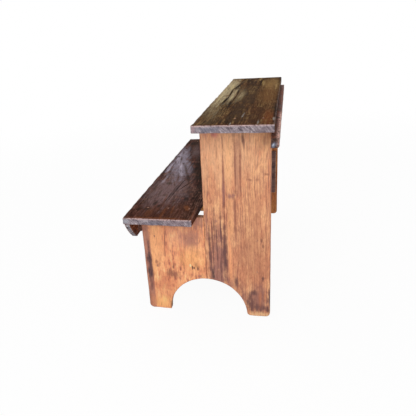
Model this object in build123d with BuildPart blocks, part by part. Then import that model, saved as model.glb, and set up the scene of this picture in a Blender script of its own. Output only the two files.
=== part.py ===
"""Bucket bench: a two-level wooden bench for water buckets, built from nailed boards.

Each end is a tall board and a short step board, joined edge to edge and tied by a wide
batten inside.  The tall boards carry the top shelf, the step boards carry the step
shelf.  A rail and a clipped apron close the front under the step shelf, and a narrow
rail ties the tall boards at the back.

Millimetres.  +X to the right along the shelves, +Y to the back, +Z up.
The origin is on the floor, in the middle of the bench's length and depth.
"""

import os

from build123d import *

# ---------------------------------------------------------------- driving dimensions
bench_height = 660          # floor to the top of the top shelf
step_height = 376           # floor to the top of the step shelf

board_thick = 22            # end boards
tall_board_width = 205
step_board_width = 208
end_inset = 70              # top shelf's end to the end board's outer face
arch_radius = 131           # the feet are what this half round leaves
toe_radius = 16             # worn outer corners of the feet
heel_radius = 9             # inner corner of each back foot

top_shelf_length = 990
top_shelf_thick = 22
top_front_overhang = 10     # past the tall boards, to the front
top_back_overhang = 10      # past the tall boards, to the back

step_shelf_thick = 22
step_right_overhang = 70    # past the right end board
step_left_overhang = 30     # past the left end board
step_front_overhang = 5     # past the apron, at the right end
step_shelf_skew = 11        # its left end lies this much further back than its right one
step_shelf_gap = 24         # open slot between its right end and the tall board
step_shelf_bow = 9          # how far its back edge bulges
shelf_corner_radius = 4     # corners of both shelves, seen from above
shelf_arris_radius = 2      # top and bottom edges of both shelves

batten_thick = 20
batten_depth = 208
batten_drop = 24            # step boards' tops to the batten's upper edge
batten_setback = 8          # batten's ends to the outer edges of the end boards

front_rail_thick = 12
front_rail_depth = 57

apron_thick = 17
apron_depth = 68
apron_lower_overhang = 16   # apron's lower corners past the end boards
apron_clip_bow = 4          # how far each clipped end bulges
apron_corner_radius = 5

back_rail_thick = 23
back_rail_depth = 27
back_rail_drop = 14         # open slot under the top shelf
back_rail_lower_radius = 15
back_rail_upper_radius = 3

nail_head_length = 7
nail_head_width = 4.5
nail_head_thick = 1.5
nail_shank_length = 3.6
nail_shank_width = 2.8
shelf_nail_length = 60
apron_nail_length = 55
back_nail_length = 50
nail_point_cover = 4        # wood left past the points of the face and batten nails
shelf_nail_margin = 24      # nearest shelf nail to the edge of a board
panel_nail_margin = 41      # nearest batten nail to the edge of a board
batten_nail_margin = 49     # upper batten nails to the batten's upper edge
arch_nail_margin = 39       # lower batten nails to the top of the arch
nail_stagger = 4            # upright nails stand inside, level ones outside the middle
rail_nail_margin = 16       # nearest nail to the front rail's long edges
face_nail_count = 3

# ---------------------------------------------------------------- places worked out
tall_board_height = bench_height - top_shelf_thick
step_board_height = step_height - step_shelf_thick
bench_depth = (
    step_front_overhang
    + apron_thick
    + front_rail_thick
    + step_board_width
    + tall_board_width
    + back_rail_thick
)

y_step_shelf_front = -bench_depth / 2
y_apron_front = y_step_shelf_front + step_front_overhang
y_rail_front = y_apron_front + apron_thick
y_step_front = y_rail_front + front_rail_thick
y_joint = y_step_front + step_board_width
y_tall_back = y_joint + tall_board_width
y_back = y_tall_back + back_rail_thick
y_step_shelf_back = y_joint - step_shelf_gap

x_outer = top_shelf_length / 2 - end_inset      # outer faces of the end boards
x_inner = x_outer - board_thick
x_board_middle = x_outer - board_thick / 2
x_upright_nails = x_board_middle - nail_stagger
x_level_nails = x_board_middle + nail_stagger
x_step_right = x_outer + step_right_overhang
x_step_left = -x_outer - step_left_overhang

z_front_rail = step_board_height - front_rail_depth
z_apron = step_board_height - apron_depth
z_back_rail_top = tall_board_height - back_rail_drop
z_back_rail_middle = z_back_rail_top - back_rail_depth / 2
z_batten_top = step_board_height - batten_drop
z_batten_base = z_batten_top - batten_depth

SIDES = (("left", -1), ("right", 1))
HEAD_DOWN = (Align.CENTER, Align.CENTER, Align.MAX)

os.makedirs("parts", exist_ok=True)


def save(part, name):
    """Label a finished piece and write its STEP file."""
    part.label = name
    export_step(part, f"parts/{name}.step")


def spaced(low, high, count):
    """Evenly spaced values from low to high, both included."""
    step = (high - low) / (count - 1)
    return [low + step * i for i in range(count)]


def drive_nails(places, length):
    """Cut nails with flush oblong heads, each driven along its place's -Z."""
    with Locations(*places):
        Box(nail_head_length, nail_head_width, nail_head_thick, align=HEAD_DOWN)
        Box(nail_shank_length, nail_shank_width, length, align=HEAD_DOWN)


# ---------------------------------------------------------------- nails
with BuildPart() as top_shelf_nails:
    nail_rows = spaced(y_joint + shelf_nail_margin, y_tall_back - shelf_nail_margin, 3)
    drive_nails(
        [
            Plane((sign * x_upright_nails, y, bench_height), x_dir=(1, 0, 0), z_dir=(0, 0, 1))
            for _, sign in SIDES
            for y in nail_rows
        ],
        shelf_nail_length,
    )

with BuildPart() as step_shelf_nails:
    nail_rows = spaced(
        y_step_front + shelf_nail_margin, y_step_shelf_back - shelf_nail_margin, 3
    )
    drive_nails(
        [
            Plane((sign * x_upright_nails, y, step_height), x_dir=(1, 0, 0), z_dir=(0, 0, 1))
            for _, sign in SIDES
            for y in nail_rows
        ],
        shelf_nail_length,
    )

with BuildPart() as apron_nails:
    nail_rows = (z_front_rail + rail_nail_margin, step_board_height - rail_nail_margin)
    drive_nails(
        [
            Plane((sign * x_level_nails, y_apron_front, z), x_dir=(1, 0, 0), z_dir=(0, -1, 0))
            for _, sign in SIDES
            for z in nail_rows
        ],
        apron_nail_length,
    )
    face_spacing = 2 * x_board_middle / (face_nail_count + 1)
    face_z = z_front_rail + front_rail_depth / 2
    drive_nails(
        [
            Plane(
                (-x_board_middle + face_spacing * (i + 1), y_apron_front, face_z),
                x_dir=(1, 0, 0),
                z_dir=(0, -1, 0),
            )
            for i in range(face_nail_count)
        ],
        apron_thick + front_rail_thick - nail_point_cover,
    )

with BuildPart() as back_rail_nails:
    drive_nails(
        [
            Plane(
                (sign * x_level_nails, y_back, z_back_rail_middle),
                x_dir=(1, 0, 0),
                z_dir=(0, 1, 0),
            )
            for _, sign in SIDES
        ],
        back_nail_length,
    )

# ---------------------------------------------------------------- shelves and long rails
with BuildPart() as top_shelf:
    with BuildSketch(Plane.XY.offset(tall_board_height)):
        top_shelf_depth = top_front_overhang + tall_board_width + top_back_overhang
        top_shelf_middle = y_joint - top_front_overhang + top_shelf_depth / 2
        with Locations((0, top_shelf_middle)):
            RectangleRounded(top_shelf_length, top_shelf_depth, shelf_corner_radius)
    extrude(amount=top_shelf_thick)
    flat_faces = faces().filter_by(Axis.Z)
    fillet(flat_faces.edges(), shelf_arris_radius)
    add(top_shelf_nails.part, mode=Mode.SUBTRACT)
save(top_shelf.part, "top_shelf")

with BuildPart() as step_shelf:
    with BuildSketch(Plane.XY.offset(step_board_height)):
        front_right = (x_step_right, y_step_shelf_front)
        back_right = (x_step_right, y_step_shelf_back)
        front_left = (x_step_left, y_step_shelf_front + step_shelf_skew)
        back_left = (x_step_left, y_step_shelf_back + step_shelf_skew)
        with BuildLine():
            Polyline(back_left, front_left, front_right, back_right)
            SagittaArc(back_right, back_left, -step_shelf_bow)
        make_face()
        fillet(vertices(), shelf_corner_radius)
    extrude(amount=step_shelf_thick)
    flat_faces = faces().filter_by(Axis.Z)
    fillet(flat_faces.edges(), shelf_arris_radius)
    add(step_shelf_nails.part, mode=Mode.SUBTRACT)
save(step_shelf.part, "step_shelf")

with BuildPart() as front_rail:
    with BuildSketch(Plane.XY.offset(z_front_rail)):
        with Locations((0, y_rail_front + front_rail_thick / 2)):
            Rectangle(2 * x_outer, front_rail_thick)
    extrude(amount=front_rail_depth)
    add(apron_nails.part, mode=Mode.SUBTRACT)
save(front_rail.part, "front_rail")

with BuildPart() as front_apron:
    lower_corner = x_outer + apron_lower_overhang
    with BuildSketch(Plane.XZ.offset(-y_rail_front)):
        with BuildLine():
            Line((x_step_left, step_board_height), (x_step_right, step_board_height))
            SagittaArc(
                (x_step_right, step_board_height), (lower_corner, z_apron), apron_clip_bow
            )
            Line((lower_corner, z_apron), (-lower_corner, z_apron))
            SagittaArc(
                (-lower_corner, z_apron), (x_step_left, step_board_height), apron_clip_bow
            )
        make_face()
        fillet(vertices().group_by(Axis.Y)[0], apron_corner_radius)
    extrude(amount=apron_thick)
    add(apron_nails.part, mode=Mode.SUBTRACT)
save(front_apron.part, "front_apron")

with BuildPart() as back_rail:
    with BuildSketch(Plane.YZ.offset(-top_shelf_length / 2)):
        with Locations((y_tall_back + back_rail_thick / 2, z_back_rail_middle)):
            Rectangle(back_rail_thick, back_rail_depth)
        fillet(vertices().group_by(Axis.X)[-1].sort_by(Axis.Y)[0], back_rail_lower_radius)
        fillet(vertices().group_by(Axis.X)[-1].sort_by(Axis.Y)[-1], back_rail_upper_radius)
    extrude(amount=top_shelf_length)
    add(back_rail_nails.part, mode=Mode.SUBTRACT)
save(back_rail.part, "back_rail")

# ---------------------------------------------------------------- end panels
for side, sign in SIDES:
    panel_low = min(sign * x_outer, sign * x_inner)
    batten_low = min(sign * x_inner, sign * (x_inner - batten_thick))

    with BuildPart() as end_batten_nails:
        nail_columns = (
            y_step_front + panel_nail_margin,
            y_joint - panel_nail_margin,
            y_joint + panel_nail_margin,
            y_tall_back - panel_nail_margin,
        )
        nail_rows = (arch_radius + arch_nail_margin, z_batten_top - batten_nail_margin)
        drive_nails(
            [
                Plane((sign * x_outer, y, z), x_dir=(0, 0, 1), z_dir=(sign, 0, 0))
                for y in nail_columns
                for z in nail_rows
            ],
            board_thick + batten_thick - nail_point_cover,
        )
    save(end_batten_nails.part, f"end_batten_nails_{side}")

    with BuildPart() as tall_end_board:
        with BuildSketch(Plane.YZ.offset(panel_low)):
            with Locations((y_joint + tall_board_width / 2, tall_board_height / 2)):
                Rectangle(tall_board_width, tall_board_height)
            with Locations((y_joint, 0)):
                Circle(arch_radius, mode=Mode.SUBTRACT)
            fillet(vertices().group_by(Axis.Y)[0].sort_by(Axis.X)[-1], toe_radius)
            fillet(vertices().group_by(Axis.Y)[0].sort_by(Axis.X)[0], heel_radius)
        extrude(amount=board_thick)
        add(end_batten_nails.part, mode=Mode.SUBTRACT)
        add(top_shelf_nails.part, mode=Mode.SUBTRACT)
        add(back_rail_nails.part, mode=Mode.SUBTRACT)
    save(tall_end_board.part, f"tall_end_board_{side}")

    with BuildPart() as step_end_board:
        with BuildSketch(Plane.YZ.offset(panel_low)):
            with Locations((y_step_front + step_board_width / 2, step_board_height / 2)):
                Rectangle(step_board_width, step_board_height)
            with Locations((y_joint, 0)):
                Circle(arch_radius, mode=Mode.SUBTRACT)
            fillet(vertices().group_by(Axis.Y)[0].sort_by(Axis.X)[0], toe_radius)
        extrude(amount=board_thick)
        add(end_batten_nails.part, mode=Mode.SUBTRACT)
        add(step_shelf_nails.part, mode=Mode.SUBTRACT)
        add(apron_nails.part, mode=Mode.SUBTRACT)
    save(step_end_board.part, f"step_end_board_{side}")

    with BuildPart() as end_batten:
        batten_front = y_step_front + batten_setback
        batten_length = y_tall_back - batten_setback - batten_front
        with BuildSketch(Plane.YZ.offset(batten_low)):
            with Locations((batten_front + batten_length / 2, z_batten_base + batten_depth / 2)):
                Rectangle(batten_length, batten_depth)
            with Locations((y_joint, 0)):
                Circle(arch_radius, mode=Mode.SUBTRACT)
        extrude(amount=batten_thick)
        add(end_batten_nails.part, mode=Mode.SUBTRACT)
    save(end_batten.part, f"end_batten_{side}")

save(top_shelf_nails.part, "top_shelf_nails")
save(step_shelf_nails.part, "step_shelf_nails")
save(apron_nails.part, "apron_nails")
save(back_rail_nails.part, "back_rail_nails")
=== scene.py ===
"""Looks of the bucket bench: honey pine ends, cracked dark shelves, worn edges, painted highlights and
old nails.

Every board is built around its CAD node, from the node's own box.  Lengths in this file are
millimetres and become metres where a mesh, a lamp or the camera is made.
"""

import math
import random
from collections import namedtuple

import bmesh
import bpy
import numpy as np
from mathutils import Matrix, Vector


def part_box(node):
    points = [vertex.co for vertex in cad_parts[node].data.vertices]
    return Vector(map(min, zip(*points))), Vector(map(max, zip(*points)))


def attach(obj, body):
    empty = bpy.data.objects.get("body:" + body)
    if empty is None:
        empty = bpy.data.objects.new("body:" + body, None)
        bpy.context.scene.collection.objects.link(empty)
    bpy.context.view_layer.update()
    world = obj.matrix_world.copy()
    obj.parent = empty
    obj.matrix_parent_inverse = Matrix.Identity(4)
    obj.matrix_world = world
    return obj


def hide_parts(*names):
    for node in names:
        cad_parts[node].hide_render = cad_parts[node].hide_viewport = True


MM = 0.001

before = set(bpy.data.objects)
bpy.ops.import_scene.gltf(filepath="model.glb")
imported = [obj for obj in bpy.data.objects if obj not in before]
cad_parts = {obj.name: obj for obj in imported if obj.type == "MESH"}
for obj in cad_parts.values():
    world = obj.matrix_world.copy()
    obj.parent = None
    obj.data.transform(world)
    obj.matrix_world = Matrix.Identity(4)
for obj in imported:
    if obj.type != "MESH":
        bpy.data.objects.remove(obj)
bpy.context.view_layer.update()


# ---- places from the frame
def node_box(name):
    """(lowest, highest) corner of a CAD node, in millimetres."""
    low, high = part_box(name)
    return [value / MM for value in low], [value / MM for value in high]


# the near tall board's lowest corner: its inner face, and where it meets the step board
INNER_FACE_X, JOINT_Y = node_box("tall_end_board_right")[0][:2]
FIGURE_SHIFT = 4.5
FIGURE_Y = JOINT_Y - FIGURE_SHIFT       # where the wood figures below count their Y places from
ARCH_RADIUS = 131
TOE_RADIUS = 16
HEEL_RADIUS = 9


# ---- camera
PICTURE_PIXELS = 416
FOCAL_PIXELS = 426.2
LENS_AXIS_PIXEL = (182.8, 193.9)
CAMERA_PLACE = (1606, 253, 913)
CAMERA_YAW = 14.59          # degrees, from looking along -X towards -Y
CAMERA_PITCH = -21.50
CAMERA_ROLL = -4.09
SENSOR_WIDTH = 36


def add_camera():
    """The camera that took the picture, with its off-centre lens axis as shift."""
    camera = bpy.data.objects.new("camera", bpy.data.cameras.new("camera"))
    bpy.context.scene.collection.objects.link(camera)
    camera.data.sensor_width = SENSOR_WIDTH
    camera.data.lens = FOCAL_PIXELS / PICTURE_PIXELS * SENSOR_WIDTH
    camera.data.shift_x = (PICTURE_PIXELS / 2 - LENS_AXIS_PIXEL[0]) / PICTURE_PIXELS
    camera.data.shift_y = (LENS_AXIS_PIXEL[1] - PICTURE_PIXELS / 2) / PICTURE_PIXELS
    along_minus_x = Matrix(((0, 0, 1), (1, 0, 0), (0, 1, 0))).to_4x4()
    turn = (
        Matrix.Rotation(math.radians(CAMERA_YAW), 4, "Z")
        @ along_minus_x
        @ Matrix.Rotation(math.radians(CAMERA_PITCH), 4, "X")
        @ Matrix.Rotation(math.radians(CAMERA_ROLL), 4, "Z")
    )
    camera.matrix_world = Matrix.Translation(Vector(CAMERA_PLACE) * MM) @ turn
    bpy.context.scene.camera = camera


# ---- shader graphs
def tone(red, green, blue):
    """A colour given by its 0 to 255 screen values, as linear RGBA."""
    linear = []
    for value in (red, green, blue):
        share = value / 255
        linear.append(share / 12.92 if share <= 0.04045 else ((share + 0.055) / 1.055) ** 2.4)
    return (*linear, 1)


class Graph:
    """The node tree of a material or a world, with one short call for each kind of node."""

    def __init__(self, owner):
        owner.use_nodes = True
        self.tree = owner.node_tree
        self.tree.nodes.clear()

    def add(self, kind, inputs=None, **settings):
        """A new shader node; inputs maps its sockets to values or other nodes' outputs."""
        node = self.tree.nodes.new("ShaderNode" + kind)
        for key, value in settings.items():
            setattr(node, key, value)
        for key, value in (inputs or {}).items():
            if isinstance(value, bpy.types.NodeSocket):
                self.tree.links.new(value, node.inputs[key])
            else:
                node.inputs[key].default_value = value
        return node

    def math(self, operation, *values):
        inputs = dict(enumerate(values))
        return self.add("Math", inputs, operation=operation).outputs[0]

    def plus(self, first, second):
        return self.math("ADD", first, second)

    def minus(self, first, second):
        return self.math("SUBTRACT", first, second)

    def times(self, first, second):
        return self.math("MULTIPLY", first, second)

    def vector(self, operation, *values):
        inputs = dict(enumerate(values))
        node = self.add("VectorMath", inputs, operation=operation)
        return node.outputs["Value" if operation == "LENGTH" else "Vector"]

    def noise(self, vector, waves, detail=2, roughness=0.5):
        """Noise with crests about as far apart as waves says, in the vector's units."""
        place = self.vector("DIVIDE", vector, waves)
        inputs = {"Vector": place, "Scale": 1, "Detail": detail, "Roughness": roughness}
        return self.add("TexNoise", inputs).outputs["Fac"]

    def smooth(self, value, low, high, out_low=0, out_high=1):
        """value's smooth passage from out_low at low to out_high at high."""
        sockets = ("Value", "From Min", "From Max", "To Min", "To Max")
        inputs = dict(zip(sockets, (value, low, high, out_low, out_high)))
        return self.add("MapRange", inputs, interpolation_type="SMOOTHSTEP").outputs["Result"]

    def mix(self, share, first, second, blend="MIX"):
        inputs = {0: share, 6: first, 7: second}
        node = self.add("Mix", inputs, data_type="RGBA", blend_type=blend)
        return node.outputs[2]

    def ramp(self, value, stops):
        """Colours between stops, a list of (place from 0 to 1, screen colour)."""
        node = self.add("ValToRGB", {"Fac": value})
        elements = node.color_ramp.elements
        while len(elements) < len(stops):
            elements.new(1)
        for element, (place, colour) in zip(elements, stops):
            element.position = place
            element.color = tone(*colour)
        return node.outputs["Color"]

    def attribute(self, name):
        return self.add("Attribute", attribute_name=name).outputs["Fac"]

    def parts(self, vector):
        """The outputs X, Y and Z of a vector."""
        return self.add("SeparateXYZ", {0: vector}).outputs

    def place(self):
        """The place on the object, in millimetres."""
        place = self.add("TexCoord").outputs["Object"]
        return self.vector("DIVIDE", place, (MM, MM, MM))

    def seen(self):
        """1 for what is seen, also in a reflection or through glass, and 0 for its light."""
        rays = self.add("LightPath").outputs
        seen = self.plus(rays["Is Camera Ray"], rays["Is Glossy Ray"])
        seen = self.plus(seen, rays["Is Transmission Ray"])
        return self.math("MINIMUM", seen, 1)

    def surface(self, colour, roughness, height, strength, relief, specular=0.5):
        """The material's surface, with bumps up to relief millimetres high."""
        bump = {"Strength": strength, "Distance": relief * MM, "Height": height}
        inputs = {
            "Base Color": colour,
            "Roughness": roughness,
            "Normal": self.add("Bump", bump).outputs[0],
            "Specular IOR Level": specular,
        }
        surface = self.add("BsdfPrincipled", inputs)
        self.add("OutputMaterial", {"Surface": surface.outputs[0]})


# ---- stage and light
WHITE = (1, 1, 1, 1)
WORLD_STRENGTH = 0.45       # of the world's light, while the world itself looks white


def add_world():
    """A white world that lights the bench gently."""
    world = bpy.data.worlds.new("studio")
    g = Graph(world)
    strength = g.smooth(g.seen(), 0, 1, WORLD_STRENGTH, 1)
    background = g.add("Background", {"Color": WHITE, "Strength": strength})
    g.add("OutputWorld", {"Surface": background.outputs[0]})
    bpy.context.scene.world = world


def add_lamp(name, place, aim, size, watts):
    """A square area lamp, in millimetres, turned to its aim."""
    lamp = bpy.data.objects.new(name, bpy.data.lights.new(name, "AREA"))
    bpy.context.scene.collection.objects.link(lamp)
    lamp.data.size = size * MM
    lamp.data.energy = watts
    lamp.location = Vector(place) * MM
    direction = (Vector(aim) - Vector(place)).normalized()
    lamp.rotation_mode = "QUATERNION"
    lamp.rotation_quaternion = direction.to_track_quat("-Z", "Y")


FLOOR_HALF = 30000
FLOOR_DROP = 0.5
FLOOR_GLOW = 0.94           # share of plain white near the bench, where the shadow shows
GLOW_NEAR = 900
GLOW_FAR = 3500             # from here on the floor is plain white, like the world
PAPER = (242, 242, 242)     # the floor's own tone


def add_floor():
    """A white floor that keeps the bench's shadow."""
    material = bpy.data.materials.new("floor_white")
    g = Graph(material)
    glow = g.smooth(g.vector("LENGTH", g.place()), GLOW_NEAR, GLOW_FAR, FLOOR_GLOW, 1)
    paper = g.add("BsdfDiffuse", {"Color": tone(*PAPER)}).outputs[0]
    white = g.add("Emission", {"Color": WHITE}).outputs[0]
    share = g.times(g.seen(), glow)
    surface = g.add("MixShader", {0: share, 1: paper, 2: white}).outputs[0]
    g.add("OutputMaterial", {"Surface": surface})
    mesh = bpy.data.meshes.new("floor")
    half = FLOOR_HALF * MM
    corners = [(-half, -half), (half, -half), (half, half), (-half, half)]
    mesh.from_pydata([(x, y, -FLOOR_DROP * MM) for x, y in corners], [], [(0, 1, 2, 3)])
    mesh.materials.append(material)
    floor = bpy.data.objects.new("floor", mesh)
    bpy.context.scene.collection.objects.link(floor)


# ---- wood
OUTLINE = 0.7               # where a spot's outline lies, as a share of its size
SOFT = 0.9                  # and how wide it fades
THROUGH = 1e6               # spots go right through the board
STROKE_ANGLE = 0.85         # how far the saw's strokes slant, in radians
LINE_TONE = (150, 122, 116)
DRIFT = 26                  # how far the grain wanders sideways in long waves, in millimetres
CURL = 5                    # and in short ones
WORN_FADE = 50              # half the length over which the wear sets in
DIRT_SHARE = 0.85
CUT_ROUGHNESS = 0.8
GRAIN_RELIEF = 0.8

# the axes along the grain, across it and into the board
UPRIGHT = "ZYX"
LEVEL = "XYZ"
ON_EDGE = "XZY"
CROSSWISE = "YZX"

Weights = namedtuple("Weights", "broad streaks fine dashes blotches")
Spot = namedtuple("Spot", "colour along across length width strength lean soft", defaults=(0, SOFT))


def spot_list(*groups):
    """Spots from groups of a colour and the rows painted in it, in the order of painting.

    A row is along, across, half length, half width and strength, then a lean in radians
    and a softness where they aren't 0 and SOFT.
    """
    return [Spot(colour, *row) for colour, *rows in groups for row in rows]


GREY_CUT = (
    (0.34, (76, 66, 70)), (0.42, (110, 100, 107)), (0.5, (136, 124, 130)),
    (0.58, (156, 142, 147)), (0.68, (198, 188, 190)),
)
PINE_CUT = ((0.38, (120, 80, 62)), (0.62, (176, 128, 98)))
DARK_CUT = ((0.36, (58, 50, 50)), (0.5, (98, 90, 92)), (0.66, (164, 156, 156)))
PALE_CUT = (
    (0.38, (50, 42, 44)), (0.47, (92, 85, 91)),
    (0.56, (146, 141, 147)), (0.68, (206, 200, 202)),
)
# the back rail's sawn end, dark with painted shadow of the top shelf
SHADED_BLACK_CUT = ((0.4, (40, 28, 25)), (0.6, (84, 62, 54)))
RED_CUT = ((0.38, (66, 38, 30)), (0.62, (122, 82, 68)))


class Wood(Graph):
    """Wood with streaks, growth rings and pores along its grain, worn edges with painted highlights,
    and sawn ends.

    The settings here are a plain board's, and each board changes some of them.
    """

    weights = Weights(0.6, 0.6, 0.4, 0.4, 0.5)
    pith = (0, -60, 0.1)        # across, into and slope along of the tree's middle
    ring_gap = 7
    ring_depth = 0.06           # how much the rings darken the figure
    patch_hue = (240, 224, 226)
    # the tone of worn edges; where it is pale it is also a painted highlight
    wear_and_highlight_tone = (225, 180, 145)
    wear_and_highlight_share = 0.55
    worn_from = (-1e4, 1)       # before this place along the grain only this share of the wear
    line_share = 0.25           # of the dark grain lines that also cross the spots
    dirt_tone = (38, 26, 20)
    pore_share = 0.35
    spots = ()
    # inner faces get a darker tone, as painted shade inside the bench
    inside = None               # (depth, tone): nearer the middle than depth, the tone multiplies
    cut_tones = GREY_CUT
    cut_spots = ()              # on the end at the high side of the grain: across, into
    gloss = (0.5, 0.75)         # roughness where the figure is darkest and palest
    specular = 0.25
    grain_bump = 0.35

    def __init__(self, name, grain, stops, seed, **changes):
        self.material = bpy.data.materials.new(name)
        super().__init__(self.material)
        vars(self).update(changes)
        self.set_places(grain, seed)
        self.make_layers()
        colour = self.paint(self.figure(stops), self.spots, self.own, self.ragged(), self.patchy)
        lines = self.times(self.lines, self.line_share)
        colour = self.mix(lines, colour, tone(*LINE_TONE), "MULTIPLY")
        pores = self.times(self.pores, self.pore_share)
        colour = self.mix(pores, colour, tone(*self.dirt_tone))
        if self.inside:
            colour = self.paint_inside_shade(colour, *self.inside)
        self.finish_surface(self.edges(colour))

    def set_places(self, grain, seed):
        """Own places along, across and into the board, and ones that drift with the grain.

        The seed moves the noises, so that no two boards have the same figure.
        """
        place = self.add("TexCoord").outputs["Object"]
        parts = self.parts(self.vector("SUBTRACT", place, (0, FIGURE_Y * MM, 0)))
        turned = self.add("CombineXYZ", {i: parts[axis] for i, axis in enumerate(grain)})
        self.own = self.vector("DIVIDE", turned.outputs[0], (MM, MM, MM))
        self.flat = self.vector("ADD", self.own, (seed * 971, 0, seed * 389))
        drift = self.minus(self.noise(self.flat, (260, 70, 200)), 0.5)
        curl = self.minus(self.noise(self.flat, (38, 24, 30)), 0.5)
        drift = self.math("MULTIPLY_ADD", curl, CURL, self.times(drift, DRIFT))
        shift = self.add("CombineXYZ", {1: drift}).outputs[0]
        self.bent = self.vector("ADD", self.flat, shift)

    def make_layers(self):
        """The noises that the figure, its spots, the gloss and the relief share."""
        self.broad = self.noise(self.bent, (1400, 26, 90))
        self.streaks = self.noise(self.bent, (190, 6.5, 30), 3, 0.6)
        self.fine = self.noise(self.bent, (60, 1.3, 6), 2, 0.6)
        self.dashes = self.noise(self.bent, (24, 4.2, 8), 3, 0.65)
        self.blotches = self.noise(self.flat, (26, 22, 30), 4, 0.62)
        self.pores = self.smooth(self.noise(self.bent, (24, 0.7, 3), 1), 0.66, 0.76)
        grainy = self.plus(self.times(self.fine, 0.4), self.times(self.dashes, 0.6))
        self.patchy = self.smooth(grainy, 0.34, 0.56, 0.65, 1)
        lines = self.noise(self.bent, (46, 1.7, 6), 4, 0.7)
        specks = self.noise(self.bent, (11, 4, 6), 3, 0.7)
        self.lines = self.smooth(self.plus(lines, specks), 1.02, 0.82)

    def weighted(self, layers, weights):
        """The layers' swings about their middle, each times its weight, added up."""
        value = 0.5
        for layer, weight in zip(layers, weights):
            value = self.plus(value, self.times(self.minus(layer, 0.5), weight))
        return value

    def rings(self):
        """Growth rings: 0 in the thin dark line that ends each year, 1 between the lines."""
        pith_across, pith_into, pith_slope = self.pith
        side = self.minus(self.parts(self.bent)[1], pith_across)
        deep = self.math("MULTIPLY_ADD", self.parts(self.own)[0], pith_slope, pith_into)
        square = self.plus(self.times(side, side), self.times(deep, deep))
        wobble = self.times(self.streaks, 9)
        turns = self.math("DIVIDE", self.plus(self.math("SQRT", square), wobble), self.ring_gap)
        return self.smooth(self.math("PINGPONG", turns, 0.5), 0.02, 0.3)

    def figure(self, stops):
        """The board's colour before spots, wear and dirt."""
        layers = (self.broad, self.streaks, self.fine, self.dashes, self.blotches)
        value = self.weighted(layers, self.weights)
        value = self.plus(value, self.times(self.minus(self.rings(), 0.7), self.ring_depth))
        patches = self.smooth(self.noise(self.flat, (120, 46, 60), 3, 0.6), 0.4, 0.62)
        return self.mix(patches, self.ramp(value, stops), tone(*self.patch_hue), "MULTIPLY")

    def ragged(self):
        """What makes the spots' outlines uneven, mostly within -0.4 to 0.4."""
        return self.times(self.minus(self.plus(self.streaks, self.blotches), 1), 1.3)

    def paint(self, colour, spots, place, ragged, share):
        """Paints oval spots over a colour, in order."""
        for spot in spots:
            inputs = {
                "Vector": place,
                "Location": (spot.along, spot.across, 0),
                "Rotation": (0, 0, spot.lean),
                "Scale": (spot.length, spot.width, THROUGH),
            }
            local = self.add("Mapping", inputs, vector_type="TEXTURE").outputs[0]
            reach = self.math("MULTIPLY_ADD", ragged, spot.soft / SOFT, self.vector("LENGTH", local))
            fade = spot.soft / 2
            mask = self.smooth(reach, OUTLINE + fade, OUTLINE - fade, 0, spot.strength)
            colour = self.mix(self.times(mask, share), colour, tone(*spot.colour))
        return colour

    def paint_inside_shade(self, colour, depth, inside_shade_tone):
        """The board's inner face, darker with painted shade inside the bench."""
        into = self.math("ABSOLUTE", self.parts(self.own)[2])
        mask = self.smooth(into, depth + 2, depth + 0.5)
        return self.mix(mask, colour, tone(*inside_shade_tone), "MULTIPLY")

    def sawn_end(self):
        """The colour of sawn wood, with blotches and the slanting strokes of the saw."""
        own = self.parts(self.own)
        place = self.add("CombineXYZ", {0: own[1], 1: own[2]}).outputs[0]
        turned = self.add("VectorRotate", {"Vector": place, "Angle": STROKE_ANGLE})
        strokes = self.noise(turned.outputs[0], (26, 2.2, 30), 2, 0.6)
        smear = self.noise(self.own, (60, 15, 11), 3, 0.6)
        value = self.weighted((self.kerf, strokes, smear), (0.5, 0.8, 0.5))
        ragged = self.minus(smear, 0.5)
        near_end = self.math("GREATER_THAN", own[0], 0)
        return self.paint(self.ramp(value, self.cut_tones), self.cut_spots, place, ragged, near_end)

    def edges(self, colour):
        """The sawn ends, the worn edges with their painted highlights and the dirt of the cracks,
        painted over a colour.
        """
        self.cut = self.attribute("cut")
        self.kerf = self.noise(self.own, (2.6, 2.6, 2.6), 3, 0.7)
        colour = self.mix(self.cut, colour, self.sawn_end())
        crumble = self.smooth(self.noise(self.own, (9, 5, 5), 3, 0.65), 0.34, 0.56)
        place, share = self.worn_from
        start = self.smooth(
            self.parts(self.own)[0], place - WORN_FADE, place + WORN_FADE, share, 1
        )
        worn = self.times(self.times(self.attribute("wear_and_highlight"), crumble), start)
        colour = self.mix(self.times(worn, self.wear_and_highlight_share), colour, tone(*self.wear_and_highlight_tone))
        dirt = self.times(self.attribute("dirt"), DIRT_SHARE)
        return self.mix(dirt, colour, tone(*self.dirt_tone))

    def finish_surface(self, colour):
        """Gloss that varies with the figure, and relief along the grain."""
        polish = self.times(self.plus(self.streaks, self.blotches), 0.5)
        rough = self.smooth(polish, 0.35, 0.65, *self.gloss)
        rough = self.math("MAXIMUM", rough, self.times(self.cut, CUT_ROUGHNESS))
        height = self.plus(self.times(self.fine, 0.5), self.times(self.streaks, 0.6))
        height = self.minus(height, self.times(self.pores, 0.3))
        height = self.mix(self.cut, height, self.times(self.kerf, 1.2))
        self.surface(colour, rough, height, self.grain_bump, GRAIN_RELIEF, self.specular)


# ---- palettes
# painted shade inside the bench
NEAR_INSIDE_SHADE = (255, 240, 192)       # multiplies the inner faces of the right end's boards
FAR_INSIDE_SHADE = (223, 202, 159)        # and of the left end's


def palette(places, *colours):
    return tuple(zip(places, colours))


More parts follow.
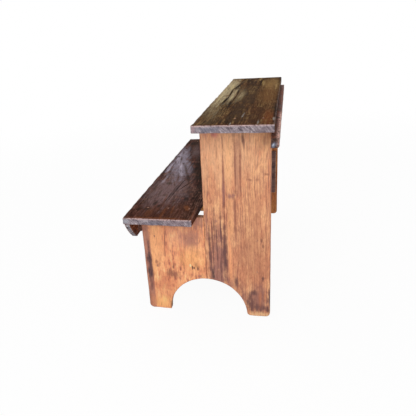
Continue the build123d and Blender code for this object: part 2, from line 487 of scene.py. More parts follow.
PINE_PLACES = (0.20, 0.36, 0.50, 0.62, 0.80)
SHELF_PLACES = (0.22, 0.40, 0.54, 0.68, 0.82)
STRIP_PLACES = (0.25, 0.45, 0.60, 0.78)
PINE = palette(
    PINE_PLACES, (138, 88, 76), (186, 128, 101), (220, 157, 118), (238, 177, 130), (253, 201, 149),
)
ORANGE_PINE = palette(
    PINE_PLACES, (160, 98, 80), (216, 146, 110), (252, 176, 127), (255, 188, 132), (255, 210, 152),
)
OLIVE_BROWN = palette(
    SHELF_PLACES, (30, 20, 14), (58, 41, 27), (82, 60, 39), (106, 82, 54), (130, 106, 72),
)
RED_BROWN = palette(SHELF_PLACES, (30, 18, 15), (56, 37, 30), (78, 55, 47), (98, 70, 60), (120, 90, 80))
DARK_RED = palette(STRIP_PLACES, (52, 28, 20), (90, 50, 32), (124, 73, 48), (152, 100, 74))
BLACK_BROWN = palette(STRIP_PLACES, (44, 22, 16), (74, 41, 30), (104, 59, 43), (132, 80, 60))
INNER_BROWN = palette(STRIP_PLACES, (66, 48, 46), (96, 72, 67), (120, 91, 83), (146, 113, 98))


# ---- stains, streaks and knots
# tones in the pine, from pale to dark
PALE = (252, 226, 170)
CREAM = (250, 188, 134)
HONEY = (238, 172, 122)
BLUSH = (220, 152, 124)
RUSSET = (186, 124, 92)
ROSEWOOD = (173, 119, 102)
CHESTNUT = (146, 92, 74)
PLUM = (156, 106, 97)
BARK = (122, 82, 68)
DEEP_PLUM = (100, 67, 66)
NEAR_BLACK = (66, 50, 54)

TALL_RIGHT_SPOTS = spot_list(
    # broad changes of tone
    ((242, 186, 142), (570, 80, 140, 130, 0.65)),
    ((200, 150, 104), (600, 190, 40, 34, 0.4)),
    ((206, 142, 104), (400, 165, 90, 54, 0.45)),
    (RUSSET, (220, 160, 170, 76, 0.6)),
    ((196, 110, 108), (620, 48, 16, 13, 0.75)),
    ((206, 128, 116), (618, 24, 12, 12, 0.45)),
    # long streaks of the upper half
    (CREAM, (540, 86, 100, 14, 0.6), (400, 86, 60, 11, 0.45)),
    (CHESTNUT, (450, 70, 200, 3.6, 0.95), (330, 69, 110, 3.4, 0.85)),
    (PLUM, (445, 70, 44, 6, 0.75)),
    ((186, 130, 104), (515, 113, 125, 12, 0.65)),
    (CHESTNUT, (520, 105, 130, 3.6, 0.85), (505, 120, 130, 3.8, 0.85), (370, 103, 100, 5, 0.75)),
    (BARK, (600, 130, 26, 5, 0.95, -0.03)),
    (CHESTNUT, (560, 52, 26, 3.4, 0.6), (600, 190, 26, 11, 0.6)),
    # knots and dents of the upper half
    (PLUM, (427, 90, 11, 14, 0.85, 0.2), (432, 100, 6, 9, 0.75, 0.2)),
    (BARK, (341, 87, 7, 4, 0.95)),
    (PLUM, (343, 45, 9, 6, 0.7)),
    (RUSSET, (363, 170, 9, 10, 0.5)),
    (CHESTNUT, (482, 148, 5, 9, 0.65, 0.3), (482, 170, 6, 7, 0.6, -0.4), (499, 196, 5, 9, 0.65)),
    # the purple stain on the front half, low down, and the dark lines in it
    (PLUM, (180, 48, 165, 33, 0.82, 0, 0.7), (150, 42, 60, 30, 0.5)),
    (DEEP_PLUM, (230, 20, 140, 5, 0.9), (250, 30, 130, 3.2, 0.8), (235, 68, 130, 10, 0.95)),
    (NEAR_BLACK, (150, 27, 26, 5, 1)),
    (DEEP_PLUM, (250, 43, 110, 3.2, 0.75), (310, 57, 110, 3.4, 0.8), (330, 36, 90, 3.2, 0.7)),
    (PLUM, (340, 12, 90, 3.2, 0.7)),
    (DEEP_PLUM, (170, 54, 60, 3.4, 0.75)),
    # the pale streak beside it
    (HONEY, (330, 88, 70, 10, 0.6)),
    ((246, 168, 120), (212, 84, 105, 6.5, 1, -0.01)),
    # slits and knots of the lower half
    (BARK, (283, 182, 9, 3.4, 0.85), (263, 187, 7, 4, 0.7)),
    (DEEP_PLUM, (146, 187, 12, 4, 0.9), (126, 101, 20, 10, 0.9)),
    (PLUM, (118, 84, 24, 18, 0.55)),
    # the foot: dark and mottled, pale where it has stood wet
    ((148, 100, 90), (66, 170, 66, 56, 0.85)),
    (DEEP_PLUM, (92, 158, 12, 13, 0.9), (70, 143, 34, 9, 0.75, 0.25), (42, 148, 26, 16, 0.8, 0.1, 1.2),
     (32, 170, 18, 34, 0.75, 0, 1.3), (30, 200, 12, 14, 0.7), (80, 208, 66, 9, 1)),
    ((196, 122, 84), (70, 178, 34, 6, 0.6)),
    ((200, 126, 86), (76, 194, 30, 5, 0.6)),
    ((236, 188, 140), (4, 175, 16, 46, 0.95)),
)

STEP_RIGHT_SPOTS = spot_list(
    # the darker strip along the front edge, and its black blots
    (ROSEWOOD, (140, -193, 600, 20, 0.9, 0, 0.25)),
    (PLUM, (160, -190, 140, 12, 0.6)),
    (DEEP_PLUM, (240, -186, 44, 6, 0.85)),
    (NEAR_BLACK, (197, -187, 26, 14, 1), (140, -187, 30, 15, 1)),
    (DEEP_PLUM, (168, -185, 70, 6, 0.85), (95, -188, 40, 8, 0.75)),
    (BARK, (40, -198, 50, 8, 0.55)),
    # the bright stretch beside it, and its crack
    ((250, 180, 124), (250, -156, 100, 28, 0.7), (180, -173, 100, 8, 0.75)),
    (CHESTNUT, (264, -129, 76, 2.8, 1, 0.07)),
    # rosy below the shelf, with a mauve stain and painted shade
    (BLUSH, (285, -70, 50, 70, 0.6)),
    # a band of painted shade just beneath the shelf
    (RUSSET, (326, -100, 16, 130, 0.5)),
    ((178, 122, 102), (282, -40, 46, 36, 0.8, 0.5, 1.4)),
    # the second rosewood spot, in the top corner by the tall board, is painted shade
    (ROSEWOOD, (268, -44, 20, 18, 0.5, 0.3), (345, -16, 32, 34, 0.95)),
    # bright above the arch, with slits and one pale fleck, a painted glint of a nail
    ((255, 186, 118), (200, -40, 52, 46, 0.55)),
    (NEAR_BLACK, (171, -42, 9, 3, 1, 0, 0.5)),
    (BARK, (168, -24, 9, 3.6, 0.95), (169, -107, 9, 4.5, 0.9)),
    (CHESTNUT, (178, -102, 8, 7, 0.6), (165, -83, 10, 3.5, 0.8)),
    (PALE, (179, -49, 8, 5, 1, 0, 0.5)),
    (PLUM, (140, -17, 10, 9, 0.75)),
    # a knot and a brown stain
    (CHESTNUT, (186, -164, 8, 7, 0.7, 0.4), (172, -160, 9, 9, 0.5), (180, -152, 7, 5, 0.45, 0.3),
     (145, -120, 20, 18, 0.9), (140, -102, 18, 16, 0.75)),
    # the leg: redder, then yellow at the foot
    ((202, 118, 86), (100, -148, 62, 44, 0.5)),
    ((255, 194, 126), (24, -154, 36, 36, 0.8)),
    ((255, 208, 140), (38, -148, 16, 8, 0.7)),
    ((214, 138, 98), (28, -190, 36, 12, 0.6, 0, 1.2)),
)

TALL_LEFT_SPOTS = spot_list(
    # broad changes of tone
    ((242, 186, 142), (500, 70, 150, 56, 0.55)),
    (RUSSET, (240, 120, 150, 56, 0.6)),
    # streaks
    ((186, 130, 104), (520, 118, 130, 12, 0.65)),
    (CHESTNUT, (500, 112, 130, 3.6, 0.85), (470, 128, 110, 3.4, 0.8), (330, 44, 120, 3.6, 0.9)),
    (CREAM, (250, 84, 110, 7, 0.8, 0.01)),
    (PLUM, (300, 26, 140, 12, 0.75)),
    (DEEP_PLUM, (280, 22, 110, 4, 0.8)),
    # knots
    (PLUM, (392, 78, 12, 15, 0.85, 0.2)),
    (BARK, (394, 80, 6, 8, 0.9, 0.2), (218, 150, 9, 7, 0.8)),
    (CHESTNUT, (575, 46, 8, 5, 0.75)),
    # the foot
    ((148, 100, 90), (60, 150, 56, 34, 0.8)),
    (DEEP_PLUM, (38, 152, 22, 24, 0.75, 0, 1.3)),
    ((236, 188, 140), (4, 160, 14, 40, 0.9)),
)

STEP_LEFT_SPOTS = spot_list(
    # the worn front edge, and a blot on it
    (ROSEWOOD, (170, -190, 400, 16, 0.7, 0, 0.4)),
    (DEEP_PLUM, (215, -186, 50, 9, 0.85)),
    # stains
    ((178, 122, 102), (270, -70, 60, 40, 0.75, 0.4, 1.4)),
    (CREAM, (190, -120, 70, 30, 0.6)),
    (CHESTNUT, (130, -140, 24, 20, 0.75)),
    ((236, 188, 140), (24, -160, 34, 34, 0.7)),
    # a crack, slits and a knot
    (CHESTNUT, (280, -128, 80, 2.8, 1, 0.05)),
    (PLUM, (236, -94, 9, 10, 0.8, 0.2)),
    (BARK, (176, -52, 10, 3.4, 0.95), (168, -30, 9, 3.4, 0.85)),
)

# tones of the shelves' old stain and of the sheen painted on it, from pale to dark
SHEEN_BONE = (196, 178, 130)
SAND = (168, 142, 96)
SHEEN_KHAKI = (188, 172, 137)
SHEEN_DUN = (136, 120, 92)
OCHRE = (152, 119, 75)
AMBER = (122, 86, 52)
COPPER = (120, 70, 40)
LICHEN = (100, 82, 60)
UMBER = (70, 52, 38)
PITCH = (38, 28, 22)
CHALK = (152, 146, 138)
GLINT = (186, 175, 188)
SHEEN_HAZE = (150, 140, 152)
MAUVE = (128, 104, 104)
MAROON = (82, 44, 29)

TOP_SPOTS = spot_list(
    # the pale front strip: painted sheen over the stain
    (SHEEN_KHAKI, (-130, 14, 440, 34, 0.9), (0, 52, 190, 14, 0.75)),
    (SHEEN_DUN, (-10, 80, 200, 22, 0.55)),
    ((160, 144, 110), (30, 84, 120, 12, 0.7)),
    (SHEEN_KHAKI, (-330, 20, 150, 30, 0.4)),
    (LICHEN, (390, 30, 130, 50, 0.5)),
    (SHEEN_BONE, (-200, 26, 70, 10, 0.7), (60, 14, 90, 7, 0.4)),
    (SHEEN_DUN, (300, 26, 120, 26, 0.45)),
    # pale lines in it, painted highlights of the sheen, and dark lines
    (SHEEN_BONE, (60, 30, 50, 3, 0.5), (-120, 8, 60, 3, 0.6), (130, 30, 40, 3, 0.45, -0.05),
     (-90, 52, 60, 3, 0.5, 0.03), (40, 54, 60, 3, 0.55), (-270, 20, 60, 4, 0.5)),
    (UMBER, (-60, 23, 60, 2.6, 0.6, 0.03), (-170, 15, 60, 3, 0.55, 0.03),
     (25, 20, 60, 2.6, 0.65, -0.04), (110, 17, 60, 2.6, 0.6, 0.04), (180, 30, 50, 3, 0.65, 0.06),
     (-260, 34, 60, 3, 0.55, -0.05), (-350, 14, 50, 3, 0.55), (-30, 75, 80, 3, 0.65, 0.02),
     (90, 84, 70, 3, 0.65, -0.03), (230, 84, 80, 3, 0.6, 0.03), (300, 44, 60, 3, 0.6, 0.03)),
    # the dark middle
    (UMBER, (120, 112, 340, 30, 0.75, -0.04), (-230, 100, 170, 22, 0.5, -0.04)),
    # the golden back, redder at the near end
    (AMBER, (0, 180, 300, 46, 0.65)),
    (OCHRE, (-290, 180, 200, 44, 0.65)),
    (COPPER, (400, 200, 130, 24, 0.7)),
    ((80, 52, 34), (350, 156, 190, 30, 0.65)),
    ((74, 54, 38), (400, 122, 110, 36, 0.6)),
    (SAND, (-280, 150, 140, 5, 0.6), (-230, 203, 140, 6, 0.4), (-440, 130, 60, 5, 0.7)),
    (MAROON, (490, 110, 16, 130, 0.5)),
    # the ragged back edge: dark bites, and painted shade of the gap to the rail
    (PITCH, (330, 216, 170, 5.5, 0.95, 0, 1.1), (120, 218, 100, 5, 0.8, 0, 1.4)),
    # checks
    (PITCH, (115, 38, 80, 7, 0.95, -0.03), (-60, 38, 110, 5, 0.9, 0.03), (-235, 45, 80, 6, 0.85, -0.1),
     (-262, 49, 90, 3.6, 0.95, -0.03, 0.7), (-170, 44, 40, 3.4, 0.9, 0.06, 0.7),
     (180, 62, 130, 4, 0.95, 0.05), (60, 64, 70, 3, 0.8), (-75, 62, 80, 5, 0.95, 0.03),
     (380, 62, 70, 3, 0.65)),
    (UMBER, (250, 26, 50, 3, 0.6, -0.1), (340, 14, 40, 4, 0.6)),
    (PITCH, (-340, 135, 150, 6, 0.8, 0.03), (-330, 115, 100, 4, 0.7), (-190, 136, 70, 4, 0.6)),
    ((162, 134, 84), (-350, 143, 90, 4, 0.8, 0, 0.6)),
    ((152, 128, 84), (-445, 127, 70, 5, 0.8, 0, 0.6)),
    (PITCH, (150, 138, 120, 3, 0.5)),
    # scratches near the end
    (CHALK, (366, 125, 40, 3, 0.8, -0.03), (480, 101, 22, 3, 0.85), (420, 214, 26, 4, 0.75),
     (462, 174, 40, 3, 0.5)),
)

STEP_SPOTS = spot_list(
    # red-brown at the near end, mauve in the middle, painted sheen and glints further on
    (MAROON, (440, -130, 110, 150, 0.6)),
    (MAUVE, (230, -150, 200, 90, 0.8)),
    (SHEEN_HAZE, (-5, -174, 185, 52, 0.85, 0.15), (-160, -196, 190, 32, 0.8, 0.12),
     (20, -124, 100, 18, 0.35, 0.2)),
    (GLINT, (-30, -176, 70, 9, 0.8, 0.25), (20, -212, 90, 9, 0.7, 0.05), (-130, -208, 80, 8, 0.75, 0.1),
     (70, -150, 50, 7, 0.5, 0.3), (150, -196, 50, 6, 0.4)),
    # painted shade along the side next to the tall boards, and the darker far end
    (PITCH, (40, -78, 260, 34, 0.8, 0.18), (-250, -148, 190, 34, 0.75, 0.18),
     (-400, -180, 90, 90, 0.5)),
    (MAUVE, (-230, -150, 130, 24, 0.5, 0.16)),
    # dark figure across the painted sheen
    (PITCH, (130, -108, 60, 9, 0.75, 0.25)),
    (UMBER, (20, -142, 90, 7, 0.65, 0.28), (60, -196, 110, 5, 0.55, 0.12),
     (-90, -188, 80, 5, 0.55, 0.15)),
    (PITCH, (250, -124, 120, 3, 0.85, -0.06), (250, -133, 100, 2.6, 0.7, -0.06),
     (200, -100, 70, 3.4, 0.8, -0.3)),
    (UMBER, (-60, -204, 26, 4, 0.7, 0.3), (20, -184, 22, 5, 0.65, -0.3), (90, -176, 24, 5, 0.6, 0.4),
     (-120, -192, 30, 5, 0.65, 0.2), (-210, -204, 30, 5, 0.7, 0.2), (40, -160, 20, 4, 0.6, 0.3),
     (110, -152, 70, 4, 0.6, 0.22), (150, -172, 60, 4, 0.55, 0.18), (180, -150, 50, 4, 0.55, 0.3),
     (280, -176, 60, 5, 0.5, 0.1), (230, -206, 50, 6, 0.55, 0.1), (340, -112, 60, 5, 0.5, 0.2)),
    # dents
    (PITCH, (330, -72, 16, 9, 0.85)),
    (UMBER, (185, -168, 18, 13, 0.8, 0.3), (300, -155, 12, 10, 0.55)),
    (PITCH, (395, -148, 14, 8, 0.85), (372, -166, 22, 8, 0.85), (420, -178, 12, 14, 0.8, 0.3),
     (425, -206, 20, 12, 0.75), (-150, -212, 14, 9, 0.85), (-280, -206, 18, 7, 0.8)),
    (UMBER, (-50, -168, 18, 6, 0.8, 0.3)),
    # rubbed through to the wood
    ((142, 88, 56), (402, -52, 24, 11, 0.7, 0.3)),
    (COPPER, (450, -120, 60, 7, 0.45), (420, -95, 40, 5, 0.45, 0.1), (440, -165, 46, 14, 0.3),
     (350, -140, 60, 5, 0.35, 0.1), (488, -120, 9, 130, 0.7)),
    # a lighter strip on the back edge near the end: painted light on a face the lamps leave in shade
    ((128, 78, 56), (450, -23, 80, 6, 0.7)),
)

# stains on the sawn right ends, by their places across and into the board, and painted light and shade
# on the back rail's end
TOP_END_SPOTS = spot_list(
    ((114, 118, 134), (44, 649, 46, 9, 0.4)),
    ((122, 106, 110), (192, 649, 40, 10, 0.5)),
    ((166, 136, 138), (1, 650, 8, 12, 0.6)),
)
STEP_END_SPOTS = spot_list(
    ((176, 178, 186), (-226, 365, 14, 9, 0.6)),
    ((110, 108, 122), (-136, 362, 34, 8, 0.4)),
    ((130, 110, 114), (-66, 365, 44, 10, 0.5)),
)
# the back rail's end: its own grey end grain where the painted shadow leaves off, a painted highlight
# on it and a dark mark
BACK_END_LIT_SPOTS = spot_list(
    ((122, 128, 146), (605, 217, 10, 7, 0.8, 0.4)),
    ((186, 194, 208), (606, 216, 6, 2.4, 0.8, 0.5)),
    ((104, 106, 116), (607, 225, 6, 3, 0.6, 0.2)),
    ((46, 36, 36), (600, 222, 3, 4, 0.8, 0.6)),
)


# ---- board meshes
EDGE_STEPS = np.array([0, 0.4, 1, 1.9, 3.2, 5.2, 8.5])      # lattice places beside an edge
WALL_SHARES = (0.06, 0.22, 0.42, 0.62, 0.8, 0.94)           # and between the two faces
CRACK_STEPS = np.array([-2.4, -1, -0.5, 0, 0.5, 1, 2.4])    # and across a crack, in its widths
CRACK_REACH = 26            # how far beside a crack the lattice bends to follow it
CRACK_JITTER = 0.35         # sideways, in crack widths
EDGE_BELT = 40              # how deep the unevenness of an edge reaches into the lattice
UNDER_WEAR = 0.3            # share of the wear on the lower face
ROUND_SWING = 0.45          # how much an edge's round varies, as a share of it
NICK = 0.25                 # and in short waves, in millimetres
LEAST_ROUND = 0.3
MOST_ROUND = 0.7            # as a share of the board's thickness
HOLLOW = 0.16               # shallow hollows and ridges of the faces
RIDGE = 0.05
# how far apart the crests are, of a board's ends and edges, its rounds and its faces
END_WAVES = 70
EDGE_WAVES = 90
CRACK_WAVES = 17
ROUND_WAVES = 45
NICK_WAVES = 9
HOLLOW_WAVES = 55
RIDGE_WAVES = 7
SAWN_WAVES = 14

# a crack's path is a row of (run, line), and a chip's oval is stretched along the run
Crack = namedtuple("Crack", "path width depth")
Chip = namedtuple("Chip", "line run size stretch depth")


def waves(first, second, length, seed, count=7):
    """Smooth random undulation, mostly within -1 to 1, with crests about length apart."""
    rng = random.Random(seed)
    total = 0
    for _ in range(count):
        angle = rng.uniform(0, math.pi)
        pitch = length * rng.uniform(0.6, 1.6)
        phase = rng.uniform(0, 2 * math.pi)
        run = first * math.cos(angle) + second * math.sin(angle)
        total = total + np.sin(run * 2 * math.pi / pitch + phase)
    return total / math.sqrt(count)


def spread(low, high, pitch):
    """Places from low to high, one row for each pair, close together near both ends."""
    low = np.atleast_1d(np.asarray(low, float))[:, None]
    high = np.atleast_1d(np.asarray(high, float))[:, None]
    inset = EDGE_STEPS[-1]
    count = max(3, round((float((high - low).max()) - 2 * inset) / pitch) + 1)
    share = np.linspace(0, 1, count)[None, 1:-1]
    middle = (low + inset) * (1 - share) + (high - inset) * share
    return np.hstack([low + EDGE_STEPS, middle, high - EDGE_STEPS[::-1]])


def merged(lines, least=0.25):
    """Sorted lines without near doubles."""
    kept = []
    for line in sorted(lines):
        if not kept or line - kept[-1] > least:
            kept.append(line)
    return np.array(kept)


def with_cracks(lines, cracks):
    """The lattice lines, with a close group of them along each crack."""
    for crack in cracks:
        centre = crack_centre(crack)
        group = centre + CRACK_STEPS * crack.width
        clear = np.abs(lines - centre) > abs(CRACK_STEPS[0]) * crack.width + 0.8
        lines = np.sort(np.concatenate([lines[clear], group]))
    return lines


def crack_centre(crack):
    return sum(line for _, line in crack.path) / len(crack.path)


def crack_profile(lines, runs, crack):
    """(shift of the lines, depth, dirt) that a crack gives the points of a face."""
    centre = crack_centre(crack)
    along = [run for run, _ in crack.path]
    across = [line for _, line in crack.path]
    jitter = CRACK_JITTER * crack.width * waves(runs, 0 * runs, CRACK_WAVES, centre)
    shift = np.interp(runs, along, across) - centre + jitter
    near = np.clip(1 - np.abs(lines - centre) / CRACK_REACH, 0, 1)
    near = near * near * (3 - 2 * near)
    share = np.clip((runs - along[0]) / (along[-1] - along[0]), 0, 1)
    taper = np.sqrt(np.sin(share * math.pi))
    gap = np.abs(lines - centre) / crack.width
    depth = crack.depth * taper * np.clip(1 - gap, 0, 1)
    dirt = np.clip(1.5 - gap, 0, 1) * np.clip(taper * 2, 0, 1)
    return shift * near, depth, dirt


def distance_to(points, path):
    """Distance from each point to a path of straight runs."""
    best = np.full(len(points), 1e9)
    for start, end in zip(path[:-1], path[1:]):
        run = end - start
        square = max(float(run @ run), 1e-9)
        share = np.clip((points - start) @ run / square, 0, 1)
        gap = points - (start + share[:, None] * run)
        best = np.minimum(best, np.hypot(gap[:, 0], gap[:, 1]))
    return best


class Board:
    """One board: two faces on a lattice of points, and a wall around them.

    lines are places across the lattice, and ends gives where a line starts and stops.
    order gives the axes of line, run and depth.  Sides are numbered first line, last line,
    low ends, high ends.  The settings here are a plain board's, and each board changes some.
    """

    outward = 1                 # or -1, the way the upper face looks
    pitch = 11                  # between the points along a line
    wobble = 0.3                # how far the outline wavers inward
    rounds = (1.6, 1.6, 1.6, 1.6)       # radius of the upper face's edge at each side
    under_rounds = None         # and of the lower face's edge, where it differs
    cut_sides = (2, 3)          # the ones that show end grain
    rough_cut = 0.25            # about how deep the saw has torn them
    worn = (1, 1, 1, 1)         # share of the wear at each side
    worn_reach = 2              # how far it reaches down the wall
    edges = None                # gives where the first and the last line lie at a run
    cracks = ()
    chips = ()

    def __init__(self, node, lines, ends, order, seed, **changes):
        vars(self).update(changes)
        self.node = node
        self.order = order
        self.seed = seed
        self.depth = sorted(corner[order[2]] * self.outward for corner in node_box(node))
        self.make_lattice(merged(lines), ends)
        if self.edges:
            self.follow_edges()
        self.measure_sides()
        self.upper, self.upper_wear_and_highlight = self.face(self.rounds, 1)
        self.lower, lower_wear_and_highlight = self.face(self.under_rounds or self.rounds, 2)
        self.lower_wear_and_highlight = UNDER_WEAR * lower_wear_and_highlight
        self.upper = self.upper + self.crack_depth
        self.bite()

    def make_lattice(self, lines, ends):
        """Places of the lattice's points, a little inside the true outline."""
        lines = with_cracks(lines, self.cracks)
        low, high = np.array([ends(line) for line in lines]).T
        low = low + self.wobble * self.roughness(lines, END_WAVES, 11)
        high = high - self.wobble * self.roughness(lines, END_WAVES, 12)
        runs = spread(low, high, self.pitch)
        across = np.repeat(lines[:, None], runs.shape[1], axis=1)
        self.crack_depth = np.zeros_like(runs)
        self.dirt = np.zeros_like(runs)
        shifts = np.zeros_like(runs)
        for crack in self.cracks:
            shift, depth, dirt = crack_profile(across, runs, crack)
            shifts += shift
            self.crack_depth += depth
            self.dirt = np.maximum(self.dirt, dirt)
        near_first = np.clip(1 - (across - lines[0]) / EDGE_BELT, 0, 1) ** 2
        near_last = np.clip(1 - (lines[-1] - across) / EDGE_BELT, 0, 1) ** 2
        inward = near_first * self.roughness(runs, EDGE_WAVES, 13)
        inward = inward - near_last * self.roughness(runs, EDGE_WAVES, 14)
        self.lines = across + shifts + self.wobble * inward
        self.runs = runs

    def follow_edges(self):
        """Moves the lines so that the outer two lie where edges says for each run."""
        first, last = self.lines.min(), self.lines.max()
        share = (self.lines - first) / (last - first)
        front, back = self.edges(self.runs)
        self.lines = front * (1 - share) + back * share

    def roughness(self, places, length, salt):
        """Undulation from about 0 to 1 along one direction."""
        return np.clip((1 + waves(places, 0 * places, length, self.seed + salt)) / 2, 0, 1)

    def measure_sides(self):
        """Distance of every point to each of the four sides of the outline."""
        grid = np.stack([self.lines, self.runs], axis=2)
        points = grid.reshape(-1, 2)
        sides = (grid[0], grid[-1], grid[:, 0], grid[:, -1])
        self.gaps = [distance_to(points, side).reshape(self.lines.shape) for side in sides]
        self.gap = np.minimum.reduce(self.gaps)

    def side_blend(self, values):
        """One value per side, blended by how near each side is."""
        weights = [1 / (gap + 0.5) ** 2 for gap in self.gaps]
        return sum(w * v for w, v in zip(weights, values)) / sum(weights)

    def face(self, rounds, salt):
        """How far a face drops below its plane, and how much wear and painted highlight its edges get.
        """
        radius = self.side_blend(rounds)
        swing = waves(self.lines, self.runs, ROUND_WAVES, self.seed + salt)
        radius = radius * (1 + ROUND_SWING * swing)
        radius = radius + NICK * waves(self.lines, self.runs, NICK_WAVES, self.seed + salt + 5)
        thickness = self.depth[1] - self.depth[0]
        radius = np.clip(radius, LEAST_ROUND, MOST_ROUND * thickness)
        inside = np.clip(radius - self.gap, 0, None)
        drop = radius - np.sqrt(np.clip(radius**2 - inside**2, 0, None))
        hollow = waves(self.lines, self.runs * 0.25, HOLLOW_WAVES, self.seed + salt + 20)
        hollow = HOLLOW * (1 + hollow)
        ridges = RIDGE * waves(self.lines, self.runs * 0.08, RIDGE_WAVES, self.seed + salt + 30)
        wear_and_highlight = np.clip(1.15 - self.gap / (radius + 1.2), 0, 1) * self.side_blend(self.worn)
        return drop + np.clip(hollow + ridges, 0, None), wear_and_highlight

    def bite(self):
        """Takes rounded bites out of the upper face."""
        for chip in self.chips:
            gap = np.hypot(self.lines - chip.line, (self.runs - chip.run) / chip.stretch)
            bite = chip.depth * np.clip(1 - (gap / chip.size) ** 2, 0, 1)
            self.upper = np.maximum(self.upper, bite)

    def wall_rings(self, top, base, side):
        """The rings of points between the two faces' outlines, rough where sawn."""
        inward = np.array([(1, 0, 0), (-1, 0, 0), (0, 1, 0), (0, -1, 0)], float)[side]
        rough = np.where(np.isin(side, self.cut_sides), self.rough_cut, 0.3 * self.rough_cut)
        for share in WALL_SHARES:
            ring = top * (1 - share) + base * share
            pull = 1 + waves(ring[:, 0] + ring[:, 1], ring[:, 2] * 3, SAWN_WAVES, self.seed + 40)
            pull = np.clip(pull, 0, None) * rough * math.sin(share * math.pi)
            gap = share * (self.depth[1] - self.depth[0])
            wear_and_highlight = max(0, 1 - gap / self.worn_reach) * np.asarray(self.worn, float)[side]
            yield ring + inward * pull[:, None], wear_and_highlight

    def shell(self):
        """The board's points, its faces, and the wear with painted highlight, the dirt and the cut of
        each point.
        """
        rows, columns = self.lines.shape
        count = rows * columns
        index = np.arange(count).reshape(rows, columns)
        upper = np.stack([self.lines, self.runs, self.depth[1] - self.upper], axis=2)
        lower = np.stack([self.lines, self.runs, self.depth[0] + self.lower], axis=2)
        points = [upper.reshape(-1, 3), lower.reshape(-1, 3)]
        wear_and_highlight = [self.upper_wear_and_highlight.ravel(), self.lower_wear_and_highlight.ravel()]
        loop = np.concatenate([index[0, :-1], index[:-1, -1], index[-1, :0:-1], index[:0:-1, 0]])
        side = np.repeat([0, 3, 1, 2], [columns - 1, rows - 1, columns - 1, rows - 1])
        rings = [loop]
        for ring, ring_wear_and_highlight in self.wall_rings(points[0][loop], points[1][loop], side):
            rings.append(sum(len(part) for part in points) + np.arange(len(loop)))
            points.append(ring)
            wear_and_highlight.append(ring_wear_and_highlight)
        rings.append(loop + count)
        points = np.concatenate(points)
        cut = np.zeros(len(points))
        for ring in rings:
            cut[ring] = np.isin(side, self.cut_sides)
        dirt = np.zeros(len(points))
        dirt[:count] = self.dirt.ravel()
        values = {"wear_and_highlight": np.concatenate(wear_and_highlight), "dirt": dirt, "cut": cut}
        return points, face_quads(index, count) + wall_quads(rings), values

    def build(self, wood):
        """Makes the object, which then stands for the CAD node."""
        points, faces, values = self.shell()
        place = np.zeros_like(points)
        for column, axis in enumerate(self.order):
            sign = self.outward if column == 2 else 1
            place[:, axis] = points[:, column] * sign * MM
        piece = mesh_piece(self.node + "_wood", place, faces, wood.material)
        for key, numbers in values.items():
            layer = piece.data.attributes.new(key, "FLOAT", "POINT")
            layer.data.foreach_set("value", numbers.astype(np.float32))
        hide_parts(self.node)
        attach(piece, "root")


def face_quads(index, count):
    """Quads of the upper and the lower face; the lower one's points come count later."""
    corners = np.stack([index[:-1, :-1], index[1:, :-1], index[1:, 1:], index[:-1, 1:]], axis=2)
    upper = corners.reshape(-1, 4)
    return upper.tolist() + (upper[:, ::-1] + count).tolist()


def wall_quads(rings):
    """Quads between each ring of points and the next."""
    rings = np.array(rings)
    ahead = np.roll(rings, -1, axis=1)
    corners = np.stack([rings[:-1], ahead[:-1], ahead[1:], rings[1:]], axis=2)
    return corners.reshape(-1, 4).tolist()


def mesh_piece(name, points, faces, material):
    """A smooth-shaded mesh object with its faces turned outward."""
    mesh = bpy.data.meshes.new(name)
    mesh.from_pydata(points.tolist(), [], faces)
    tidy = bmesh.new()
    tidy.from_mesh(mesh)
    bmesh.ops.recalc_face_normals(tidy, faces=tidy.faces)
    tidy.to_mesh(mesh)
    tidy.free()
    mesh.shade_smooth()
    mesh.materials.append(material)
    piece = bpy.data.objects.new(name, mesh)
    bpy.context.scene.collection.objects.link(piece)
    return piece


# ---- outlines
ARCH_STEPS = 26
TOE_STEPS = 8
SHELF_CORNER = 4
STEP_SKEW = 11              # the step shelf's left end lies this much further back
STEP_BOW = 8.8
STEP_GAP = 24.2             # from its back edge, at the right end, to the tall boards
APRON_LOWER_X = 441
APRON_BOW = 5
FAR_BOW_SHARE = 0.6         # the apron's left end is bowed less
APRON_CORNER = 3


def arch_height(y):
    """Height of the arch above the floor at a place along the end, 0 outside it."""
    return math.sqrt(max(ARCH_RADIUS**2 - (y - JOINT_Y) ** 2, 0))


def arch_lines(low, high):
    """Lattice lines that follow the arch evenly, between two places along Y."""
    lines = []
    for i in range(ARCH_STEPS + 1):
        angle = math.pi * i / (2 * ARCH_STEPS)
        for side in (-1, 1):
            y = JOINT_Y + side * ARCH_RADIUS * math.cos(angle)
            if low < y < high:
                lines.append(y)
    return lines


def arc_drop(radius, past):
    """How far a round has dropped at a distance past its top."""
    return radius - math.sqrt(max(radius**2 - past**2, 0))


def foot_height(y, outer):
    """Lower edge of an end board at y; outer is the Y of the foot's outer edge."""
    toe_centre = outer - math.copysign(TOE_RADIUS, outer)
    past_toe = (y - toe_centre) * math.copysign(1, outer)
    if past_toe > 0:
        return arc_drop(TOE_RADIUS, past_toe)
    if outer > 0:
        heel_reach = math.sqrt((ARCH_RADIUS + HEEL_RADIUS) ** 2 - HEEL_RADIUS**2)
        heel_start = ARCH_RADIUS * heel_reach / (ARCH_RADIUS + HEEL_RADIUS)
        gap = y - JOINT_Y
        if heel_start < gap < heel_reach:
            return arc_drop(HEEL_RADIUS, gap - heel_reach)
    return arch_height(y)


